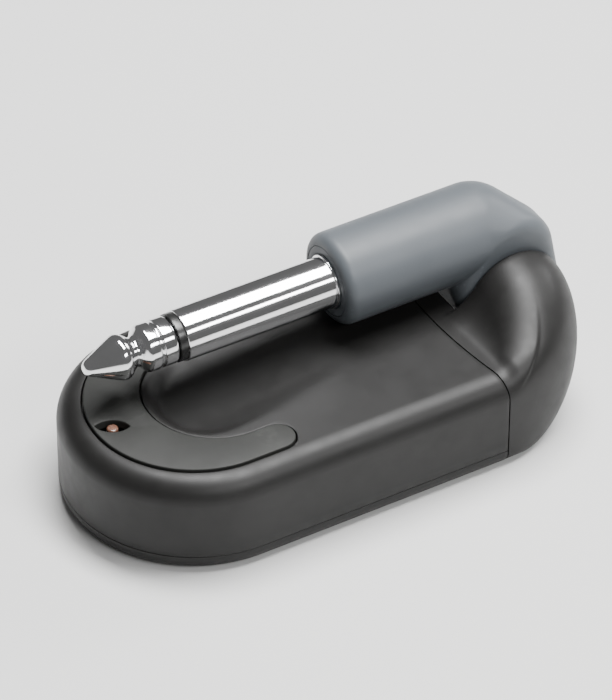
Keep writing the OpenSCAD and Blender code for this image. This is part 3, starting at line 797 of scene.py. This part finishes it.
def arm_shell():
    """Round handle that flows over a bend into the flat knuckle."""
    cloud = bmesh.new()
    centre = Vector((HANDLE_BEND_X, PLUG_Y, PLUG_Z)) * MM
    bmesh.ops.create_uvsphere(cloud, u_segments=128, v_segments=64, radius=HANDLE_R * MM,
                              matrix=Matrix.Translation(centre))
    knuckle_rim = disc_profile(ARM_FACE_Y, ARM_OUTER_Y, KNUCKLE_R, ARM_FRONT_EDGE_R, ARM_EDGE_R)
    shoulder_rim = disc_profile(ARM_FACE_Y, PLUG_Y, SHOULDER_R, SHOULDER_EDGE_R, SHOULDER_EDGE_R)
    for rim, x, z in ((knuckle_rim, PIVOT_X, PIVOT_Z), (shoulder_rim, SHOULDER_X, SHOULDER_Z)):
        for y, r in rim:
            for k in range(DISC_STEPS):
                a = 2 * math.pi * k / DISC_STEPS
                cloud.verts.new(Vector((x + r * math.cos(a), y, z + r * math.sin(a))) * MM)
    hull = bmesh.ops.convex_hull(cloud, input=cloud.verts, use_existing_faces=False)
    spare = [e for e in hull["geom_interior"] + hull["geom_unused"] if isinstance(e, bmesh.types.BMVert)]
    bmesh.ops.delete(cloud, geom=list(set(spare)), context="VERTS")
    mesh = bpy.data.meshes.new("knuckle")
    cloud.to_mesh(mesh)
    cloud.free()
    knuckle = bpy.data.objects.new("knuckle", mesh)
    bpy.context.scene.collection.objects.link(knuckle)
    end = [(HANDLE_END_X + HANDLE_EDGE_R - a, HANDLE_R - HANDLE_EDGE_R + r)
           for r, a in arc((0, 0), HANDLE_EDGE_R, 0, 90, 12)][::-1]
    outline = [(HANDLE_END_X, 0)] + end + [(HANDLE_BEND_X, HANDLE_R), (HANDLE_BEND_X, 0)]
    obj = on_plug_axis("arm_skin", outline, around=False)
    join(obj, [knuckle])
    fuse(obj, ARM_VOXEL)
    bore = bar("bore", HANDLE_BORE_R, (HANDLE_END_X - 1, PLUG_Y, PLUG_Z),
               (HANDLE_BORE_END_X, PLUG_Y, PLUG_Z))
    shaft = bar("shaft", SHAFT_R + SHAFT_CLEAR, (PIVOT_X, ARM_FACE_Y - 1, PIVOT_Z),
                (PIVOT_X, ARM_POCKET_Y + 1, PIVOT_Z))
    pocket = bar("pocket", ARM_POCKET_R, (PIVOT_X, ARM_POCKET_Y, PIVOT_Z),
                 (PIVOT_X, ARM_OUTER_Y + 1, PIVOT_Z))
    cut(obj, [bore, shaft, pocket])
    soften(obj, CUT_CREASE)
    return obj


def arm_cap():
    thick = ARM_OUTER_Y - arm_cap_low.y
    outline = disc_profile(arm_cap_low.y, ARM_OUTER_Y, ARM_POCKET_R - 0.04, 0.05, min(0.2, thick))
    outline = [(arm_cap_low.y, 0)] + outline + [(ARM_OUTER_Y, 0)]
    return on_pivot_axis("arm_cover", outline)


# ---------------------------------------------------------------- plug


def plug_retainer():
    outer = HANDLE_BORE_R - 0.03
    inner = ROOT_R + 0.04
    corners = [(COLLAR_X, inner), (HANDLE_END_X, inner), (HANDLE_END_X, outer), (COLLAR_X, outer)]
    return on_plug_axis("plug_bushing", rounded(corners, 0.2))


def plug_sleeve():
    collar_end = COLLAR_X + COLLAR_T
    corners = [(TAIL_END_X, SLEEVE_BORE_R), (SLEEVE_X, SLEEVE_BORE_R), (SLEEVE_X, PLUG_R),
               (ROOT_X, PLUG_R), (ROOT_X, ROOT_R), (COLLAR_X, ROOT_R), (COLLAR_X, COLLAR_R),
               (collar_end, COLLAR_R), (collar_end, TAIL_R), (TAIL_END_X, TAIL_R)]
    return on_plug_axis("sleeve_contact", rounded(corners, 0.16))


def plug_insulator():
    corners = [(TAIL_END_X, ROD_R), (RING_X, ROD_R), (RING_X, RING_R),
               (SLEEVE_X, RING_R), (SLEEVE_X, SLEEVE_BORE_R), (TAIL_END_X, SLEEVE_BORE_R)]
    return on_plug_axis("insulator_ring", rounded(corners, 0.1))


def plug_tip():
    profile = [(tip_low.x, 0)] + [(tip_low.x + along, r) for along, r in TIP_PROFILE]
    profile += [(RING_X, ROD_R), (tip_high.x, ROD_R), (tip_high.x, 0)]
    return on_plug_axis("tip_contact", rounded(profile, 0.3, 6), around=False)


# ---------------------------------------------------------------- assembly of the skins

SKINS = [
    (housing_top, "body", "housing_black"),
    (housing_bottom, "body", "housing_black"),
    (end_cap, "body", "neck_black"),
    (power_button, "button", "pad_black"),
    (light_pipe, "body", "light_amber"),
    (arm_shell, "arm", "arm_grey"),
    (arm_cap, "arm", "arm_grey"),
    (plug_retainer, "arm", "arm_grey"),
    (plug_sleeve, "arm", "plug_chrome"),
    (plug_insulator, "arm", "insulator_black"),
    (plug_tip, "arm", "plug_chrome"),
]

# ---------------------------------------------------------------- materials


class Nodes:
    """Short way to build a node tree."""

    def __init__(self, material):
        material.use_nodes = True
        self.tree = material.node_tree
        self.shader = self.tree.nodes["Principled BSDF"]
        self.place = self.tree.nodes.new("ShaderNodeTexCoord").outputs["Object"]

    def add(self, kind, inputs=None, **settings):
        node = self.tree.nodes.new(kind)
        for key, value in settings.items():
            setattr(node, key, value)
        for key, value in (inputs or {}).items():
            self.feed(node.inputs[key], value)
        return node

    def feed(self, socket, value):
        if isinstance(value, bpy.types.NodeSocket):
            self.tree.links.new(value, socket)
        else:
            socket.default_value = value

    def noise(self, scale, detail=4.0, roughness=0.55, stretch=(1, 1, 1)):
        spread = self.add("ShaderNodeMapping", {"Vector": self.place, "Scale": stretch})
        node = self.add("ShaderNodeTexNoise", {
            "Vector": spread.outputs["Vector"], "Scale": scale, "Detail": detail,
            "Roughness": roughness})
        return node.outputs["Fac"]

    def ramp(self, value, low, high, to_low=0.0, to_high=1.0):
        """Value moved from the range low-high to the range to_low-to_high, and held there."""
        return self.add("ShaderNodeMapRange", {
            "Value": value, "From Min": low, "From Max": high, "To Min": to_low,
            "To Max": to_high}).outputs["Result"]

    def mix(self, fac, a, b):
        node = self.add("ShaderNodeMix", {"Factor": fac}, data_type="RGBA")
        self.feed(node.inputs[6], a)
        self.feed(node.inputs[7], b)
        return node.outputs[2]

    def worn_edges(self):
        """Near 1 on sharp outer edges, 0 elsewhere, broken up by a noise."""
        pointed = self.add("ShaderNodeNewGeometry").outputs["Pointiness"]
        edge = self.ramp(pointed, 0.53, 0.6)
        patchy = self.ramp(self.noise(900, 3), 0.4, 0.65)
        return self.add("ShaderNodeMath", {0: edge, 1: patchy}, operation="MULTIPLY").outputs[0]

    def bump(self, height, strength, distance):
        return self.add("ShaderNodeBump", {
            "Height": height, "Strength": strength, "Distance": distance}).outputs["Normal"]


def shade(colour, factor):
    return tuple(min(1.0, c * factor) for c in colour) + (1.0,)


def plastic(name, colour, roughness, grain=0.25, wear=1.6, vary=0.12, shine=0.5):
    """Moulded plastic: faint mottling, fine grain, and edges polished by handling."""
    material = bpy.data.materials.new(name)
    n = Nodes(material)
    mottle = n.ramp(n.noise(130, 5), 0.3, 0.7)
    base = n.mix(mottle, shade(colour, 1 - vary), shade(colour, 1 + vary))
    edge = n.worn_edges()
    n.feed(n.shader.inputs["Base Color"], n.mix(edge, base, shade(colour, wear)))
    rough = n.ramp(n.noise(420, 4), 0.3, 0.7, roughness - 0.04, roughness + 0.05)
    n.feed(n.shader.inputs["Roughness"], rough)
    n.shader.inputs["Specular IOR Level"].default_value = shine
    grit = n.noise(9000, 2, 0.6)
    n.feed(n.shader.inputs["Normal"], n.bump(grit, grain, 0.02 * MM))
    return material


def metal(name, colour, roughness, brushed=(1, 1, 1), scratch=0.1, scale=1500):
    """Plated or bare metal: drawn or polished, with fine scratches and uneven polish."""
    material = bpy.data.materials.new(name)
    n = Nodes(material)
    n.shader.inputs["Metallic"].default_value = 1.0
    mottle = n.ramp(n.noise(200, 4), 0.3, 0.7)
    base = n.mix(mottle, shade(colour, 0.95), shade(colour, 1.03))
    n.feed(n.shader.inputs["Base Color"], n.mix(n.worn_edges(), base, shade(colour, 1.1)))
    streaks = n.noise(scale, 6, 0.6, brushed)
    n.feed(n.shader.inputs["Roughness"], n.ramp(streaks, 0.3, 0.75, roughness, roughness * 1.7))
    n.feed(n.shader.inputs["Normal"], n.bump(streaks, scratch, 0.01 * MM))
    return material


def clear_resin(name, colour):
    """Cloudy clear resin of the light pipe and the light itself."""
    material = bpy.data.materials.new(name)
    n = Nodes(material)
    cloud = n.ramp(n.noise(1800, 4), 0.3, 0.7)
    n.feed(n.shader.inputs["Base Color"], n.mix(cloud, shade(colour, 0.75), shade(colour, 1.2)))
    n.feed(n.shader.inputs["Roughness"], n.ramp(n.noise(900, 3), 0.3, 0.7, 0.2, 0.35))
    n.shader.inputs["Coat Weight"].default_value = 0.6
    n.feed(n.shader.inputs["Normal"], n.bump(cloud, 0.1, 0.01 * MM))
    return material


MATERIALS = {
    "housing_black": plastic("soft_touch_black", (0.0085, 0.0082, 0.0079), 0.46, grain=0.12, shine=0.3),
    "neck_black": plastic("neck_black", (0.0085, 0.0082, 0.0079), 0.46, grain=0.12, shine=0.3),
    "pad_black": plastic("pad_black", (0.015, 0.0155, 0.0142), 0.55, grain=0.15, shine=0.3),
    "arm_grey": plastic("arm_grey", (0.078, 0.087, 0.096), 0.46, grain=0.12, wear=1.25, vary=0.05,
                        shine=0.4),
    "plug_chrome": metal("plug_chrome", (0.83, 0.83, 0.84), 0.07, (0.05, 1, 1), scratch=0.04),
    "insulator_black": plastic("insulator_black", (0.012, 0.012, 0.012), 0.28, grain=0.05),
    "spring_steel": metal("spring_steel", (0.56, 0.56, 0.57), 0.3, (1, 0.05, 1)),
    "screw_steel": metal("screw_steel", (0.16, 0.16, 0.17), 0.38),
    "lug_brass": metal("lug_brass", (0.76, 0.62, 0.34), 0.3),
    "board_green": plastic("board_green", (0.015, 0.09, 0.045), 0.35, grain=0.1, vary=0.2),
    "shield_tin": metal("shield_tin", (0.68, 0.69, 0.7), 0.28, (0.08, 1, 1)),
    "chip_black": plastic("chip_black", (0.02, 0.02, 0.021), 0.6, grain=0.4),
    "ceramic_white": plastic("ceramic_white", (0.72, 0.7, 0.64), 0.5, wear=1.05, vary=0.05),
    "light_amber": clear_resin("light_amber", (0.12, 0.055, 0.035)),
    "led_amber": clear_resin("led_amber", (0.9, 0.6, 0.25)),
    "battery_foil": metal("battery_foil", (0.7, 0.71, 0.73), 0.35, scale=300, scratch=0.5),
    "tape_white": plastic("tape_white", (0.7, 0.68, 0.6), 0.8, grain=0.4, wear=1.0, vary=0.06),
    "wire_red": plastic("wire_red", (0.5, 0.03, 0.02), 0.4, wear=1.1),
    "lead_black": plastic("lead_black", (0.02, 0.02, 0.02), 0.5),
    "fibre_tan": plastic("fibre_tan", (0.5, 0.38, 0.24), 0.75, grain=0.5, wear=1.05, vary=0.15),
}

slots = {part["node"]: part["material_slot"] for part in frame["record"]["subparts"]}


def dress(obj, slot):
    obj.data.materials.clear()
    obj.data.materials.append(MATERIALS[slot])


for node, obj in frame["nodes"].items():
    dress(obj, slots[node])

for build, body, slot in SKINS:
    piece = build()
    dress(piece, slot)
    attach(piece, body)
    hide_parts(build.__name__)

# ---------------------------------------------------------------- floor, light and camera


def floor():
    """Pale, slightly uneven studio floor."""
    bpy.ops.mesh.primitive_plane_add(size=4, location=(0, 0, 0))
    plane = bpy.context.object
    plane.name = "floor"
    material = bpy.data.materials.new("floor_pale")
    n = Nodes(material)
    cloud = n.ramp(n.noise(3, 3), 0.3, 0.7)
    n.feed(n.shader.inputs["Base Color"], n.mix(cloud, (0.60, 0.60, 0.60, 1), (0.64, 0.64, 0.63, 1)))
    n.shader.inputs["Roughness"].default_value = 0.8
    plane.data.materials.append(material)


LIGHT_TARGET = Vector((0, 0, 0.01))


def softbox(name, place, size, power):
    light = bpy.data.lights.new(name, "AREA")
    light.shape = "RECTANGLE"
    light.size, light.size_y = size
    light.energy = power
    obj = bpy.data.objects.new(name, light)
    obj.location = place
    aim = LIGHT_TARGET - Vector(place)
    obj.rotation_euler = aim.to_track_quat("-Z", "Y").to_euler()
    bpy.context.scene.collection.objects.link(obj)


def camera(azimuth, elevation, distance, lens, target):
    """Camera at the photograph's angle: azimuth is turned from the -Y side."""
    az, el = math.radians(azimuth), math.radians(elevation)
    back = Vector((math.sin(az) * math.cos(el), -math.cos(az) * math.cos(el), math.sin(el)))
    data = bpy.data.cameras.new("camera")
    data.lens = lens
    data.sensor_width = 36
    data.clip_start = 0.01
    obj = bpy.data.objects.new("camera", data)
    obj.location = Vector(target) + back * distance
    obj.rotation_euler = (-back).to_track_quat("-Z", "Y").to_euler()
    bpy.context.scene.collection.objects.link(obj)
    bpy.context.scene.camera = obj


floor()
softbox("overhead", (0.12, 0.05, 0.6), (0.5, 0.2), 12)
softbox("front", (0.1, -0.55, 0.5), (0.5, 0.14), 3.5)
softbox("right", (0.6, 0.1, 0.35), (0.2, 0.3), 2)

world = bpy.data.worlds.new("studio")
world.use_nodes = True
world.node_tree.nodes["Background"].inputs["Color"].default_value = (0.5, 0.5, 0.5, 1)
world.node_tree.nodes["Background"].inputs["Strength"].default_value = 0.3
bpy.context.scene.world = world

camera(-30, 40, 0.58, 250, (-0.00085, 0.0014, 0.0125))
